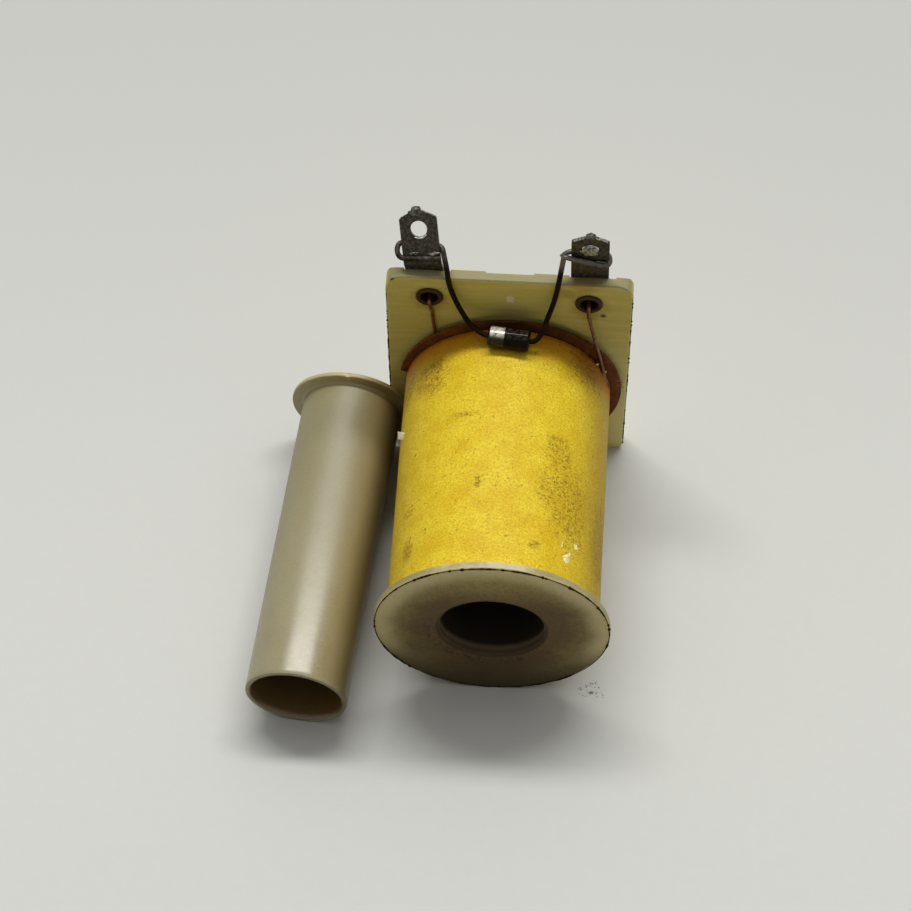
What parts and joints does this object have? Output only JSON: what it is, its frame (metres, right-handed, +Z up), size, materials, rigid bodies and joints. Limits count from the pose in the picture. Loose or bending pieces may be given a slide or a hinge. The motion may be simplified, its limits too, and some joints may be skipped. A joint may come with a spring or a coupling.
{
  "type": "solenoid coil",
  "caption": "Solenoid coil wound on a flanged bobbin with a square terminal plate, solder lugs and a protection diode, with a loose flanged tubular sleeve beside it.",
  "frame": {"origin": "centre of the bobbin's bore, in the outer face of its round flange", "axes": "+Y along the bore to the terminal plate, +Z up with the coil lying on its round flange and its plate's lower edge, +X to the right seen from the round flange"},
  "size_m": [0.0449, 0.0493, 0.0445],
  "materials": {
    "nylon": "aged translucent nylon, satin, khaki",
    "sleeve_nylon": "aged nylon, semi-gloss, beige",
    "enamelled_wire": "enamelled copper wire",
    "fibre": "dark vulcanised fibre",
    "paper": "yellow wrapper paper, grimy",
    "tarnished_lug": "tinned brass, tarnished nearly black",
    "eyelet_metal": "tarnished brass rivet",
    "tinned_lead": "tinned copper lead, tarnished dark",
    "diode_mould": "black moulded epoxy with a silver band",
    "silicon": "silicon die",
    "solder": "tin-lead solder, dull to bright"
  },
  "bodies": {
    "coil": {"bobbin": "nylon", "winding": "enamelled_wire", "fibre_washer": "fibre", "paper_wrapper": "paper", "lug_left": "tarnished_lug", "lug_right": "tarnished_lug", "eyelet_left": "eyelet_metal", "eyelet_right": "eyelet_metal", "start_lead": "enamelled_wire", "finish_lead": "enamelled_wire", "diode_body": "diode_mould", "diode_die": "silicon", "diode_lead_cathode": "tinned_lead", "diode_lead_anode": "tinned_lead", "solder_tip_left": "solder", "solder_tip_right": "solder", "solder_wrap_left": "solder", "solder_wrap_right": "solder", "solder_eyelet_left": "solder", "solder_eyelet_right": "solder", "solder_hole_right": "solder"},
    "sleeve": {"sleeve": "sleeve_nylon"}
  },
  "joints": [
    {"name": "sleeve_slide", "type": "slide", "parent": "coil", "child": "sleeve", "axis": [-0.0889, -0.996, 0], "range_m": [0, 0.045]}
  ]
}
